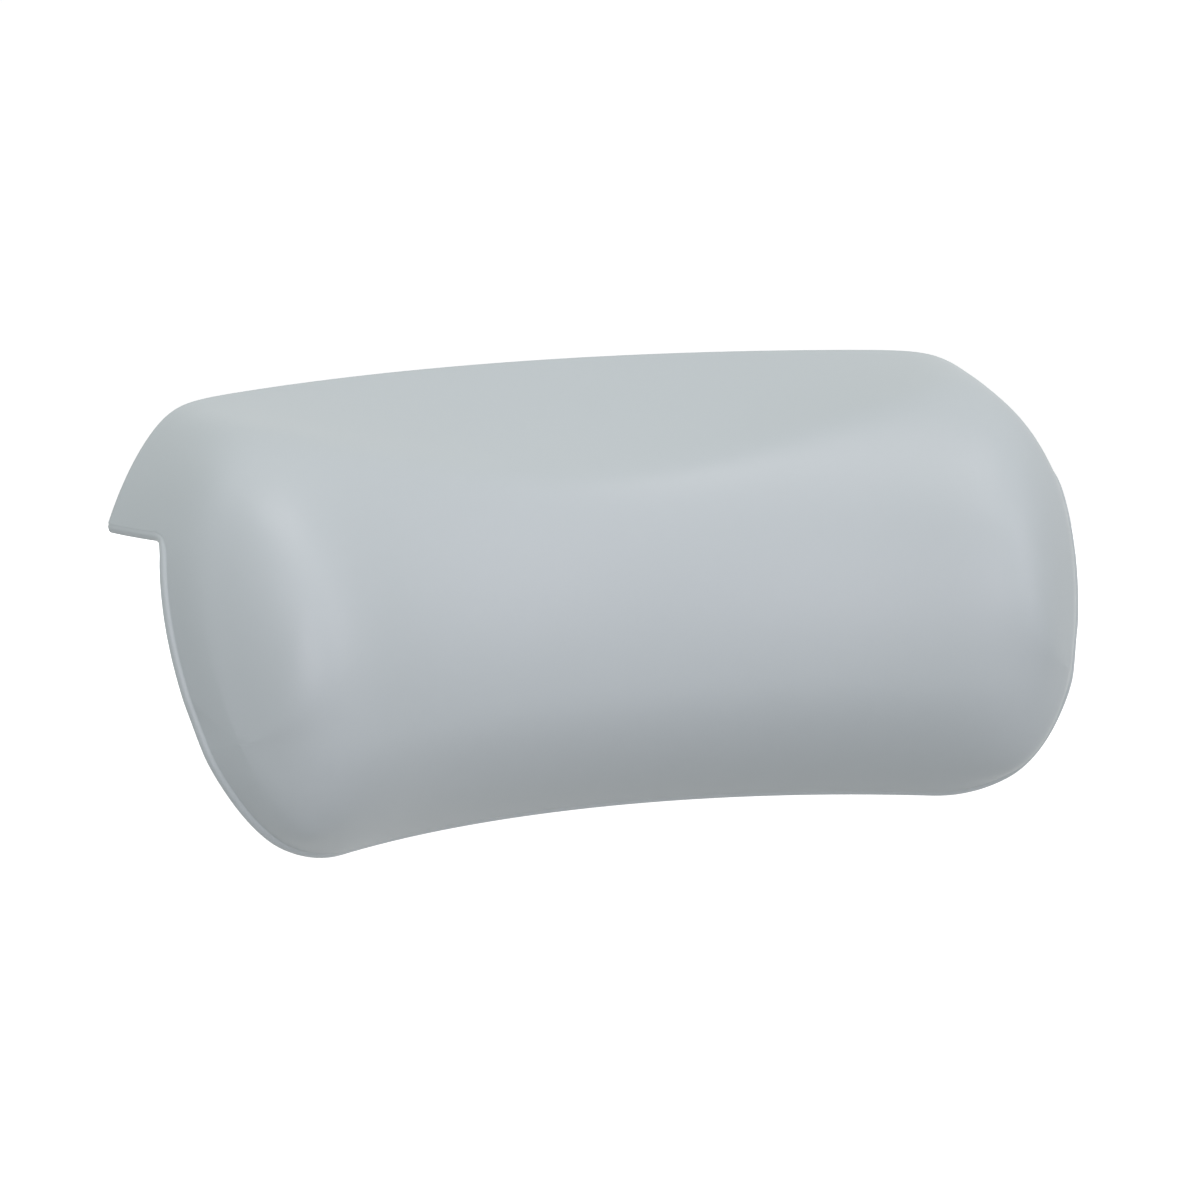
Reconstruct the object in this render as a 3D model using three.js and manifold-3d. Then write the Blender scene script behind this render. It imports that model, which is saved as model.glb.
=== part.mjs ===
// Bath pillow that hooks over the rim of a bath: a foam core in a moulded skin, on a hook-shaped
// back plate with four suction cups in keyhole slots.
// Millimetres, +Z up. The front faces -Y, and the origin lies under the middle of the rim grip.
import * as THREE from 'three';
import { ParametricGeometry } from 'three/addons/geometries/ParametricGeometry.js';
import { mergeVertices } from 'three/addons/utils/BufferGeometryUtils.js';
import Module from 'manifold-3d';

const wasm = await Module();
wasm.setup();

// Driving dimensions: the end of the bath that the pillow fits
const BATH_RADIUS = 231; // plan radius of the inner edge of the rim
const WALL_LEAN = 13; // degrees, lean of the wall just under the rim
const WALL_SWEEP = 223; // radius with which the wall sweeps forward below the rim

// Driving dimensions: the pillow's outer form, measured along the rim, across it and upward
const HALF_LENGTH = 167.5; // from the middle to each end, along the inner edge of the rim
const OVERHANG = 26; // reach of the hook over the rim
const DROP = 91.6; // from the rim down to the bottom edge
const NECK_HEIGHT = 34.5; // from the rim up to the back edge of the neck rest, before its edge is softened
const NECK_SLOPE = 19; // degrees, fall of the neck rest towards the front, at its middle
const NECK_HALF_LENGTH = 132; // from the middle to where the neck rest is level, along the rim
const NECK_BLEND = 4.4; // softness of the line between the neck rest and the front
const CROWN_DEPTH = 66; // from the inner edge of the rim forward to the crown
const CROWN_DROP = 51; // from the rim down to the crown
const FRONT_REACH = 82.5; // front radius of the bolster, crown to its centre line
const SHOULDER_OVER = 4; // the bolster's top, before the neck rest is cut, over the rest's back edge
const WAIST_DEPTH = 16; // the widest outline lies this far in front of the bath wall
const WAIST_DROP = 51; // and this far below the rim
const WAIST_BLEND = 40; // the ends' upper and lower rounding merge this far above and below the waist
const TOP_CORNER = 64; // length of the rounding of each end towards the top, at the hook's back
const BROW_CORNER = 28.5; // the same at the front of the top
const BROW_DEPTH = 45; // the front of the top lies this far in front of the waist
const BOTTOM_CORNER = 46; // length of the rounding towards the bottom, at the back
const JAW_CORNER = 18; // the same at the front of the bottom
const CHEEK_CORNER = 40; // length of the rounding towards the front, above the waist
const CHIN_CORNER = 76; // the same below the waist
const BACK_CORNER = 12; // length of the rounding towards the back
const BACK_DRAW = 14.7; // behind the widest outline the ends draw in by this much, at the hook's back
const DRAW_POWER = 1.25; // how late they draw in, from the waist to the hook's back
const ROUND = 2; // rounds an end as an ellipse
const SQUARISH = 3.6; // rounds it as a squarer curve

// Driving dimensions: walls and fits
const SKIN_WALL = 2.5;
const PLATE_WALL = 3;
const BEAD_WIDTH = 3;
const BEAD_PROUD = 0.5;
const FIT = 0.3; // gap between pieces that touch

// Driving dimensions: plate ribs, drain holes and rim grip
const RIB_THICK = 2.4;
const RIB_DEPTH = 4;
const RIB_ABOVE = 16; // a rib runs this far above the rim
const RIB_BELOW = 30; // and this far below it
const RIB_END_MARGIN = 43.5; // from the pillow's ends to the outer ribs, along the rim
const RIB_COUNT = 5;
const DRAIN_RADIUS = 3;
const DRAIN_RISE = 9; // from the bottom edge up to a drain hole
const DRAIN_END_MARGIN = 77.5;
const DRAIN_COUNT = 3;
const GRIP_WIDTH = 14;
const GRIP_END_MARGIN = 47.5;
const GRIP_PROUD = 0.6; // the grip stands out of the seat by this much
const GRIP_SEATED = 1.2; // and lies this deep in its groove

// Driving dimensions: suction cups, their pads and caps
const CUP_RADIUS = 19;
const CUP_HEIGHT = 9; // from the pad to the lip
const CUP_WEB = 3; // thickness at the middle of the cup
const LIP_WALL = 1.2;
const BASE_RADIUS = 9;
const BASE_HEIGHT = 1.8;
const STEM_RADIUS = 3.8;
const HEAD_RADIUS = 6.5;
const HEAD_FLAT = 4.5; // radius of the flat on top of the head
const HEAD_HEIGHT = 3.5;
const DISH_POWER = 1.6; // how sharply the cup's outside flares towards the lip
const CUP_TRAVEL = 9; // from the narrow end of the keyhole up to its entry
const KEYHOLE_CLEARANCE = 0.4;
const PAD_RADIUS = 16;
const PAD_PROUD = 0.6; // the pad stands out of the back by this much at its middle
const PAD_RISE = 3.5; // and out of the plate's inner face by this much
const CAP_WALL = 1.5;
const CAP_STAND = 1.6; // from the plate's inner face to the cap's rim
const CAP_ROOM = 1.2; // free space over the cup's head
const TAB_LENGTH = 7;
const TAB_WIDTH = 9;
const CUP_END_MARGIN = 75.5; // from the pillow's ends to the outer cups, along the rim
const UPPER_CUP_DROP = 35; // from the rim down to the outer pair
const LOWER_CUP_RISE = 26.5; // from the bottom edge up to the inner pair

// Facets
const STATIONS = 28; // sections along the pillow
const STATION_POWER = 2.5; // sections crowd towards the ends
const ARC_STEP = 11.25; // degrees, along the round runs of a section
const LINE_STEPS = 3; // along its straight runs
const BATH_STEPS = 22; // along the bath's rim
const WALL_STEPS = 9; // down its wall
const TURN_STEPS = 24; // round a post or a cup
const DISH_STEPS = 5; // from the middle of a cup to its lip
const TAB_STEPS = 6;
const MERGE_WITHIN = 1e-4; // points closer than this are one

// Cutting bodies
const CUT_PAST = 2; // a cut runs past a face by this much
const CLEAR = 60; // the bath's block runs past the pillow by this much

const { degToRad: radians, lerp, smoothstep } = THREE.MathUtils;
const SEAT = GRIP_PROUD; // height of the hook's underside over the rim
const AXIS_Y = -BATH_RADIUS - OVERHANG / 2; // the bath end's centre of curvature
const FAR = OVERHANG + CLEAR; // safely behind the pillow
const PAD_DEPTH = PLATE_WALL + PAD_RISE;

// Where a place along the rim, across it and upward lies in the frame
function bend(along, across, up) {
  const angle = along / BATH_RADIUS;
  const reach = BATH_RADIUS + across;
  return new THREE.Vector3(reach * Math.sin(angle), AXIS_Y + reach * Math.cos(angle), up);
}

// The bath wall's place across the rim at a depth below it, and its slope there
function wallAcross(up) {
  const down = Math.min(up, 0);
  return down * Math.tan(radians(WALL_LEAN)) - (down * down) / (2 * WALL_SWEEP);
}

function wallSlope(up) {
  return Math.tan(radians(WALL_LEAN)) - Math.min(up, 0) / WALL_SWEEP;
}

function waistAcross(up) {
  return wallAcross(up) - WAIST_DEPTH;
}

// A geometry as a solid for cutting and joining
function solid(geometry) {
  geometry.deleteAttribute('normal');
  geometry.deleteAttribute('uv');
  const merged = mergeVertices(geometry, MERGE_WITHIN);
  const index = Array.from(merged.index.array);
  const faces = [];
  for (let i = 0; i < index.length; i += 3) {
    const [a, b, c] = index.slice(i, i + 3);
    if (a !== b && b !== c && c !== a) faces.push(a, b, c);
  }
  const vertProperties = new Float32Array(merged.attributes.position.array);
  return new wasm.Manifold(new wasm.Mesh({ numProp: 3, vertProperties, triVerts: new Uint32Array(faces) }));
}

// A solid as a geometry
function geometryOf(body) {
  const mesh = body.getMesh();
  const geometry = new THREE.BufferGeometry();
  geometry.setAttribute('position', new THREE.BufferAttribute(new Float32Array(mesh.vertProperties), 3));
  geometry.setIndex(new THREE.BufferAttribute(new Uint32Array(mesh.triVerts), 1));
  geometry.computeVertexNormals();
  return geometry;
}

// A profile across the rim, drawn out along it and bent to the bath's plan
function bentPrism(shape, halfLength, steps) {
  const geometry = new THREE.ExtrudeGeometry(shape, { depth: 2 * halfLength, steps, bevelEnabled: false });
  const position = geometry.attributes.position;
  for (let i = 0; i < position.count; i++) {
    const place = bend(position.getZ(i) - halfLength, position.getX(i), position.getY(i));
    position.setXYZ(i, place.x, place.y, place.z);
  }
  return solid(geometry);
}

// The bath's rim and wall as a block, grown towards the pillow
function bathBlock(grown) {
  const shape = new THREE.Shape();
  const floor = -DROP - CLEAR;
  shape.moveTo(FAR, SEAT + grown);
  shape.lineTo(-grown, SEAT + grown);
  for (let i = 1; i <= WALL_STEPS; i++) {
    const up = (floor * i) / WALL_STEPS;
    const lean = Math.atan(wallSlope(up));
    shape.lineTo(wallAcross(up) - grown * Math.cos(lean), up + grown * Math.sin(lean));
  }
  shape.lineTo(FAR, floor);
  return bentPrism(shape, HALF_LENGTH + CLEAR, BATH_STEPS);
}

// Section of the bolster at its middle, before the neck rest is cut: top, front, underside, back.
// The underside's curve meets the bath wall at the bottom edge.
function sectionPath(inset) {
  const path = new THREE.Path();
  const back = OVERHANG - inset;
  const centre = FRONT_REACH - CROWN_DEPTH;
  const reach = FRONT_REACH - inset;
  const rise = CROWN_DROP + NECK_HEIGHT + SHOULDER_OVER - inset;
  const edge = (centre - wallAcross(-DROP)) / FRONT_REACH;
  const fall = (DROP - CROWN_DROP) / Math.sqrt(1 - edge * edge) - inset;
  path.moveTo(back, -CROWN_DROP + rise);
  path.lineTo(centre, -CROWN_DROP + rise);
  path.absellipse(centre, -CROWN_DROP, reach, rise, Math.PI / 2, Math.PI);
  path.absellipse(centre, -CROWN_DROP, reach, fall, Math.PI, Math.PI * 1.5);
  path.lineTo(back, -CROWN_DROP - fall);
  path.lineTo(back, -CROWN_DROP + rise);
  return path;
}

// How full a section still is, near an end that is rounded over a length
function fullness(toEnd, length, power) {
  const into = THREE.MathUtils.clamp(1 - toEnd / length, 0, 1);
  return Math.pow(1 - Math.pow(into, power), 1 / power);
}

// The neck rest: a hollow that the bolster's top blends into. It slopes to the front, less towards its ends.
function underNeckRest(along, across, up, inset) {
  const slope = radians(NECK_SLOPE);
  const ease = 1 - Math.pow(along / NECK_HALF_LENGTH, 2);
  const rest = NECK_HEIGHT - inset / Math.cos(slope) - (OVERHANG - across) * Math.tan(slope) * ease;
  const apart = Math.abs(rest - up) / NECK_BLEND;
  return Math.min(rest, up) - NECK_BLEND * Math.log1p(Math.exp(-apart));
}

// How full the section is at a distance from the end, up and across from the waist
function endFill(toEnd, across, up) {
  const above = smoothstep(up, -WAIST_BLEND, WAIST_BLEND);
  const behind = smoothstep(across, -BROW_DEPTH, OVERHANG + WAIST_DEPTH);
  const top = lerp(fullness(toEnd, BROW_CORNER, ROUND), fullness(toEnd, TOP_CORNER, ROUND), behind);
  const under = smoothstep(across, -WAIST_DEPTH, OVERHANG);
  const bottom = lerp(fullness(toEnd, JAW_CORNER, ROUND), fullness(toEnd, BOTTOM_CORNER, ROUND), under);
  const front = lerp(fullness(toEnd, CHIN_CORNER, SQUARISH), fullness(toEnd, CHEEK_CORNER, SQUARISH), above);
  return {
    up: lerp(bottom, top, above),
    across: across < 0 ? front : fullness(toEnd, BACK_CORNER, ROUND),
  };
}

// The pillow's outer form as one closed body, drawn in by an inset on every side
function loaf(inset) {
  const path = sectionPath(inset);
  const outline = path.curves.flatMap((curve) => {
    const turn = curve.isEllipseCurve ? curve.aEndAngle - curve.aStartAngle : 0;
    const pieces = turn ? Math.ceil(turn / radians(ARC_STEP)) : LINE_STEPS;
    return curve.getPoints(pieces).slice(0, -1);
  });
  const halfLength = HALF_LENGTH - inset;
  const surface = (u, v, target) => {
    const side = 1 - 2 * u;
    const along = Math.sign(side) * halfLength * (1 - Math.pow(1 - Math.abs(side), STATION_POWER));
    const toEnd = halfLength - Math.abs(along);
    const point = outline[Math.round(v * outline.length) % outline.length];
    const across = point.x - waistAcross(point.y);
    const up = point.y + WAIST_DROP;
    const fill = endFill(toEnd, across, up);
    const height = up * fill.up - WAIST_DROP;
    const placed = across * fill.across + waistAcross(height);
    const behind = Math.max(placed - waistAcross(height), 0) / (OVERHANG + WAIST_DEPTH);
    const drawn = along * (1 - (BACK_DRAW * Math.pow(behind, DRAW_POWER)) / HALF_LENGTH);
    target.copy(bend(drawn, placed, underNeckRest(along, placed, height, inset)));
  };
  return solid(new ParametricGeometry(surface, STATIONS, outline.length));
}

// A place on the bath wall: X along the rim, Y up the wall, Z out of the pillow's back
function wallFrame(along, up) {
  const angle = along / BATH_RADIUS;
  const out = new THREE.Vector3(Math.sin(angle), Math.cos(angle), 0);
  const lean = Math.atan(wallSlope(up));
  const x = new THREE.Vector3(-Math.cos(angle), Math.sin(angle), 0);
  const y = out.clone().multiplyScalar(Math.sin(lean)).setZ(Math.cos(lean));
  const z = out.clone().multiplyScalar(Math.cos(lean)).setZ(-Math.sin(lean));
  return new THREE.Matrix4().makeBasis(x, y, z).setPosition(bend(along, wallAcross(up), up));
}

// Evenly spread places along the rim, with a margin at each end of the pillow
function spread(count, margin) {
  const half = HALF_LENGTH - margin;
  return Array.from({ length: count }, (_, i) => half * ((2 * i) / (count - 1) - 1));
}

// The suction cups in their order along the rim: an outer pair near it, an inner pair near the bottom
const cups = [
  { name: 'upper_left', drop: UPPER_CUP_DROP },
  { name: 'lower_left', drop: DROP - LOWER_CUP_RISE },
  { name: 'lower_right', drop: DROP - LOWER_CUP_RISE },
  { name: 'upper_right', drop: UPPER_CUP_DROP },
];
spread(cups.length, CUP_END_MARGIN).forEach((along, i) => {
  cups[i].along = along;
  cups[i].pad = wallFrame(along, -cups[i].drop);
});

// A cylinder along Z between two heights
function post(radius, from, to, y = 0) {
  const geometry = new THREE.CylinderGeometry(radius, radius, to - from, TURN_STEPS);
  geometry.rotateX(Math.PI / 2);
  return geometry.translate(0, y, (from + to) / 2);
}

// A body of revolution about Z from points of radius and height
function turned(points) {
  const profile = points.map(([radius, height]) => new THREE.Vector2(radius, height));
  return new THREE.LatheGeometry(profile, TURN_STEPS).rotateX(Math.PI / 2);
}

// A joining of several bodies
function joined(bodies) {
  return bodies.reduce((whole, body) => whole.add(body));
}

// A body with several others cut out of it
function cut(body, tools) {
  return tools.reduce((rest, tool) => rest.subtract(tool), body);
}

// Copies of a geometry in the frames of the four pads
function atPads(geometry) {
  return cups.map((cup) => solid(geometry.clone().applyMatrix4(cup.pad)));
}

// Stiffening ribs round the hook's inner corner, up to a depth from the bath, grown by a gap
function ribs(depth, gap) {
  const height = RIB_ABOVE + RIB_BELOW + 2 * gap;
  const slabs = spread(RIB_COUNT, RIB_END_MARGIN).map((along) => {
    const slab = new THREE.BoxGeometry(RIB_THICK + 2 * gap, 2 * FAR, height);
    slab.translate(0, BATH_RADIUS, (RIB_ABOVE - RIB_BELOW) / 2);
    slab.rotateZ(-along / BATH_RADIUS);
    return solid(slab.translate(0, AXIS_Y, 0));
  });
  return bathBlock(depth).intersect(joined(slabs));
}

// The rim grip's bar, grown by a gap on its sides and in its groove
function gripBar(gap) {
  const shape = new THREE.Shape();
  const inner = (OVERHANG - GRIP_WIDTH) / 2 - gap;
  const outer = (OVERHANG + GRIP_WIDTH) / 2 + gap;
  const top = SEAT + GRIP_SEATED + gap;
  shape.moveTo(inner, 0);
  shape.lineTo(outer, 0);
  shape.lineTo(outer, top);
  shape.lineTo(inner, top);
  return bentPrism(shape, HALF_LENGTH - GRIP_END_MARGIN + gap, BATH_STEPS);
}

// Keyhole through a pad: a round entry above, a slot down to the place of rest
function keyhole() {
  const from = -PAD_DEPTH - CUT_PAST;
  const to = PAD_PROUD + CUT_PAST;
  const slotRadius = STEM_RADIUS + KEYHOLE_CLEARANCE;
  const slot = new THREE.BoxGeometry(2 * slotRadius, CUP_TRAVEL, to - from);
  slot.translate(0, 0, (from + to) / 2);
  return [
    post(HEAD_RADIUS + KEYHOLE_CLEARANCE, from, to, CUP_TRAVEL / 2),
    post(slotRadius, from, to, -CUP_TRAVEL / 2),
    slot,
  ];
}

// Cap that covers a pad's inner face and the travel of the cup's head
const capRim = -PLATE_WALL - CAP_STAND;
const capFloor = -PAD_DEPTH - FIT - HEAD_HEIGHT - CAP_ROOM;
const capRadius = PAD_RADIUS + FIT + CAP_WALL;

// Room for the caps in the foam and between the ribs, from the plate up, with a gap all round
function capRooms() {
  return atPads(post(capRadius + FIT, capFloor - CAP_WALL - FIT, PAD_PROUD));
}

function capGeometry() {
  return turned([
    [0, capFloor - CAP_WALL],
    [capRadius, capFloor - CAP_WALL],
    [capRadius, capRim],
    [PAD_RADIUS + FIT, capRim],
    [PAD_RADIUS + FIT, capFloor],
    [0, capFloor],
  ]);
}

// Suction cup: head behind the pad, stem in the keyhole, dished disc and a pull tab towards the near end
function cupBody(along) {
  const head = -PAD_DEPTH - FIT;
  const base = PAD_PROUD + FIT;
  const lip = PAD_PROUD + CUP_HEIGHT;
  const points = [
    [0, head - HEAD_HEIGHT],
    [HEAD_FLAT, head - HEAD_HEIGHT],
    [HEAD_RADIUS, head - HEAD_HEIGHT / 2],
    [HEAD_RADIUS, head],
    [STEM_RADIUS, head],
    [STEM_RADIUS, base],
    [BASE_RADIUS, base],
  ];
  const shoulder = base + BASE_HEIGHT;
  for (let i = 0; i <= DISH_STEPS; i++) {
    const part = i / DISH_STEPS;
    const rise = (lip - LIP_WALL - shoulder) * Math.pow(part, DISH_POWER);
    points.push([BASE_RADIUS + (CUP_RADIUS - BASE_RADIUS) * part, shoulder + rise]);
  }
  const hollow = base + CUP_WEB;
  for (let i = DISH_STEPS; i >= 0; i--) {
    const part = i / DISH_STEPS;
    points.push([CUP_RADIUS * part, hollow + (lip - hollow) * part * part]);
  }
  const tab = new THREE.Shape();
  const root = -CUP_RADIUS + LIP_WALL;
  const round = TAB_WIDTH / 2;
  tab.moveTo(root, round);
  tab.lineTo(-CUP_RADIUS - TAB_LENGTH + round, round);
  tab.absarc(-CUP_RADIUS - TAB_LENGTH + round, 0, round, Math.PI / 2, Math.PI * 1.5);
  tab.lineTo(root, -round);
  const flat = { depth: LIP_WALL, bevelEnabled: false, curveSegments: TAB_STEPS };
  const tongue = new THREE.ExtrudeGeometry(tab, flat);
  tongue.translate(0, 0, lip - LIP_WALL);
  tongue.rotateZ(along < 0 ? Math.PI : 0);
  return solid(turned(points)).add(solid(tongue));
}

const skinForm = loaf(SKIN_WALL);
const coreForm = loaf(SKIN_WALL + FIT);
const bath = bathBlock(0);

function outerSkin() {
  return cut(loaf(0), [skinForm, bathBlock(BEAD_WIDTH + FIT)]);
}

function edgeBead() {
  return cut(loaf(-BEAD_PROUD).intersect(bathBlock(BEAD_WIDTH)), [skinForm, bath]);
}

function carrierPlate() {
  const clearRibs = cut(ribs(PLATE_WALL + RIB_DEPTH, 0), capRooms());
  const plain = coreForm.intersect(bathBlock(PLATE_WALL).add(clearRibs)).subtract(bath);
  const pads = atPads(post(PAD_RADIUS, -PAD_DEPTH, PAD_PROUD));
  const drains = spread(DRAIN_COUNT, DRAIN_END_MARGIN).map((along) => {
    const hole = post(DRAIN_RADIUS, -PLATE_WALL - CUT_PAST, CUT_PAST);
    return solid(hole.applyMatrix4(wallFrame(along, DRAIN_RISE - DROP)));
  });
  const keyholes = keyhole().flatMap((piece) => atPads(piece));
  return cut(joined([plain, ...pads]), [...keyholes, ...drains, gripBar(FIT)]);
}

function foamCore() {
  const grownRibs = ribs(PLATE_WALL + RIB_DEPTH + FIT, FIT);
  return cut(coreForm, [bathBlock(PLATE_WALL + FIT), grownRibs, ...capRooms()]);
}

// The parts, with their colours and surfaces
const group = new THREE.Group();
group.name = 'bath_pillow';

function addPart(name, geometry, surface, frame) {
  const mesh = new THREE.Mesh(geometry, new THREE.MeshStandardMaterial(surface));
  mesh.name = name;
  if (frame) frame.decompose(mesh.position, mesh.quaternion, mesh.scale);
  group.add(mesh);
}

const SKIN = { color: 0xc2c9ca, roughness: 0.5, metalness: 0 };
const FOAM = { color: 0xd9d3b8, roughness: 0.95, metalness: 0 };
const PLATE = { color: 0x9aa2a4, roughness: 0.55, metalness: 0 };
const BEAD = { color: 0xcdd3d4, roughness: 0.45, metalness: 0 };
const GRIP = { color: 0x6c7375, roughness: 0.8, metalness: 0 };
const CAP = { color: 0x868d8f, roughness: 0.6, metalness: 0 };
const CUP = { color: 0xdfe6e8, roughness: 0.2, metalness: 0, transparent: true, opacity: 0.6 };

addPart('outer_skin', geometryOf(outerSkin()), SKIN);
addPart('edge_bead', geometryOf(edgeBead()), BEAD);
addPart('foam_core', geometryOf(foamCore()), FOAM);
addPart('carrier_plate', geometryOf(carrierPlate()), PLATE);
addPart('rim_grip', geometryOf(gripBar(0)), GRIP);
cups.forEach((cup) => {
  const seated = cup.pad.clone().multiply(new THREE.Matrix4().makeTranslation(0, -CUP_TRAVEL / 2, 0));
  addPart(`keyhole_cap_${cup.name}`, geometryOf(solid(capGeometry())), CAP, cup.pad);
  addPart(`suction_cup_${cup.name}`, geometryOf(cupBody(cup.along)), CUP, seated);
});

export default group;
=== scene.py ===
"""Looks of a bath pillow that hooks over a bath's rim, with sizes in millimetres."""

import math

import bmesh
import bpy
import numpy as np
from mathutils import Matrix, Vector


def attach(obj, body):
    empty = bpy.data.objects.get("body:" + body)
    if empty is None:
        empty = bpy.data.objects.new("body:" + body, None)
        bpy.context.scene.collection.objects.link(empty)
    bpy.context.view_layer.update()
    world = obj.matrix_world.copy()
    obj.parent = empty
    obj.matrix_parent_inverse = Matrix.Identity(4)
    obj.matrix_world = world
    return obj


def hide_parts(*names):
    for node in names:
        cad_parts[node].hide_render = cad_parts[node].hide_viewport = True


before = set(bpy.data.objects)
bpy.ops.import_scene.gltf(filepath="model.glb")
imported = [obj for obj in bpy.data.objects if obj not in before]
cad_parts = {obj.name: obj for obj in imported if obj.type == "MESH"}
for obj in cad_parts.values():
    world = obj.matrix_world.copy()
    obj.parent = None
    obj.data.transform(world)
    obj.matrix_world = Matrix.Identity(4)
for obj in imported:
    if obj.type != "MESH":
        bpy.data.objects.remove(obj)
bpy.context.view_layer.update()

MM = 0.001

# The end of the bath that the pillow fits
BATH_RADIUS = 231.0  # plan radius of the inner edge of the rim
WALL_LEAN = 13.0  # degrees, lean of the wall just under the rim
WALL_SWEEP = 223.0  # radius with which the wall sweeps forward below the rim

# The pillow's outer form, along the rim, across it and upward
HALF_LENGTH = 167.5  # from the middle to each end, along the inner edge of the rim
OVERHANG = 26.0  # reach of the hook over the rim
DROP = 91.6  # from the rim down to the bottom edge
NECK_HEIGHT = 34.5  # from the rim up to the back edge of the neck rest, before its edge is softened
NECK_SAG = 1.16  # the whole neck rest lies this much lower
NECK_SLOPE = 19.0  # degrees, fall of the neck rest towards the front, at its middle
NECK_HALF_LENGTH = 132.0  # from the middle to where the neck rest is level, along the rim
NECK_BLEND = 2.2  # softness of the line between the neck rest and the front
CROWN_DEPTH = 66.0  # from the inner edge of the rim forward to the crown
CROWN_DROP = 51.0  # from the rim down to the crown
FRONT_REACH = 82.5  # front radius of the bolster, crown to its centre line
SHOULDER_OVER = 4.0  # the bolster's top, before the neck rest is cut, over the rest's back edge
WAIST_DEPTH = 16.0  # the widest outline lies this far in front of the bath wall
WAIST_DROP = 51.0  # and this far below the rim
WAIST_BLEND = 40.0  # the ends' upper and lower rounding merge this far above and below the waist
TOP_CORNER = 66.0  # length of the rounding of each end towards the top, at the hook's back
TOP_POWER = 1.9  # rounds it a little straighter than an ellipse
BROW_CORNER = 28.5  # length of the rounding at the front of the top
BROW_DEPTH = 45.0  # the front of the top lies this far in front of the waist
BOTTOM_CORNER = 46.0  # length of the rounding towards the bottom, at the back
JAW_CORNER = 18.0  # the same at the front of the bottom
CHEEK_CORNER = 40.0  # length of the rounding towards the front, above the waist
CHIN_CORNER = 76.0  # the same below the waist
BACK_CORNER = 12.0  # length of the rounding towards the back
BACK_DRAW = 11.2  # behind the widest outline the ends draw in by this much, at the hook's back
DRAW_POWER = 1.25  # how late they draw in, from the waist to the hook's back
ROUND = 2.0  # rounds an end as an ellipse
SQUARISH = 3.6  # rounds it as a squarer curve
EDGE_SOFTNESS = 0.9  # reach of the rounding of a section's corners
MOST_SOFTNESS = 0.01  # the most that it may be, as a share of the way round the section
RIDGE_SOFTNESS = 9.0  # reach of the evening out of the ridges between the front and the ends
RIDGE_NEAR = 5.0  # it starts this far in front of the bath wall
RIDGE_FAR = 25.0  # and is complete this far in front of it
AXIS_Y = -BATH_RADIUS - OVERHANG / 2  # the bath end's centre of curvature

# Walls and fits
SKIN_WALL = 2.5
PLATE_WALL = 3.0
BEAD_WIDTH = 3.0
BEAD_PROUD = 0.4  # the bead's crest stands over the skin by this much
BEAD_CREST = 1.3  # from the skin's edge back to the crest
BEAD_ROUNDNESS = 2.4  # rounds the bead's back a little squarer than an ellipse
RIM_ROUND = 3.0  # radius of the edge between the bath's rim and its wall
FIT = 0.3  # gap between pieces that touch
SEAT = 0.6  # height of the hook's underside over the rim
HOOK_DROOP = 2.2  # the back of that underside hangs this much lower at its ends

# Plate and grip
RIB_THICK = 2.4
RIB_DEPTH = 4.0
RIB_ABOVE = 16.0  # a rib runs this far above the rim
RIB_BELOW = 30.0  # and this far below it
RIB_END_MARGIN = 43.5  # from the pillow's ends to the outer ribs, along the rim
RIB_COUNT = 5
DRAIN_RADIUS = 3.0
DRAIN_RISE = 9.0  # from the bottom edge up to a drain hole
DRAIN_END_MARGIN = 77.5
DRAIN_COUNT = 3
GRIP_WIDTH = 14.0
GRIP_END_MARGIN = 47.5
GRIP_SEATED = 1.2  # the grip lies this deep in its groove
GRIP_CHAMFER = 0.3  # along its lower edges
GRIP_PITCH = 4.0  # from one cross groove to the next
GRIP_GROOVE = 0.35  # depth of a cross groove
GROOVE_SHARPNESS = 6  # power that makes the grooves narrower than a plain wave

# Cups, their keyholes, the pads round these and the caps behind them
CUP_NAMES = ("upper_left", "lower_left", "lower_right", "upper_right")  # from left to right
CUP_END_MARGIN = 75.5  # from the pillow's ends to the outer cups, along the rim
UPPER_CUP_DROP = 35.0  # from the rim down to the outer pair
LOWER_CUP_RISE = 26.5  # from the bottom edge up to the inner pair
CUP_RADIUS = 19.0
CUP_HEIGHT = 9.0  # from the pad to the lip
CUP_WEB = 3.0  # thickness at the middle of the cup
CUP_CHAMFER = 0.4  # at the head and at the top of the stem
CUP_TRAVEL = 9.0  # from the narrow end of the keyhole up to its entry
LIP_WALL = 1.2
LIP_BULGE = 0.3  # the lip's edge stands out by this much
LIP_TURN = 60.0  # degrees that the edge turns up and down
BASE_RADIUS = 9.0
BASE_HEIGHT = 1.8
BASE_CHAMFER = 0.5
STEM_RADIUS = 3.8
STEM_SHORT = 0.01  # the stem's last ring lies this much before the base
HEAD_RADIUS = 6.5
HEAD_FLAT = 4.5  # radius of the flat on top of the head
HEAD_HEIGHT = 3.5
HEAD_TURN = 75.0  # degrees that the head's rounding takes up
DISH_POWER = 1.6  # how sharply the cup's outside flares towards the lip
HOLLOW_POWER = 2  # the same for the cup's hollow
HOLLOW_RIM = 0.98  # the hollow goes from this share of the cup's radius
HOLLOW_MIDDLE = 0.03  # to this one
KEYHOLE_CLEARANCE = 0.4
MOUTH_FLARE = 0.6  # chamfer round the holes in the back
PAD_RADIUS = 16.0
PAD_PROUD = 0.6  # the pad stands out of the back by this much at its middle
PAD_RISE = 3.5  # and out of the plate's inner face by this much
PAD_DEPTH = PLATE_WALL + PAD_RISE
PAD_ROUND = 0.5  # rounding of the pad's edge
PAD_ROUND_MIDDLE = 0.15  # the middle of the rounding lies this far in from the pad's side and face
CAP_WALL = 1.5
CAP_ROOM = 1.2  # free space over the cup's head
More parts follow.
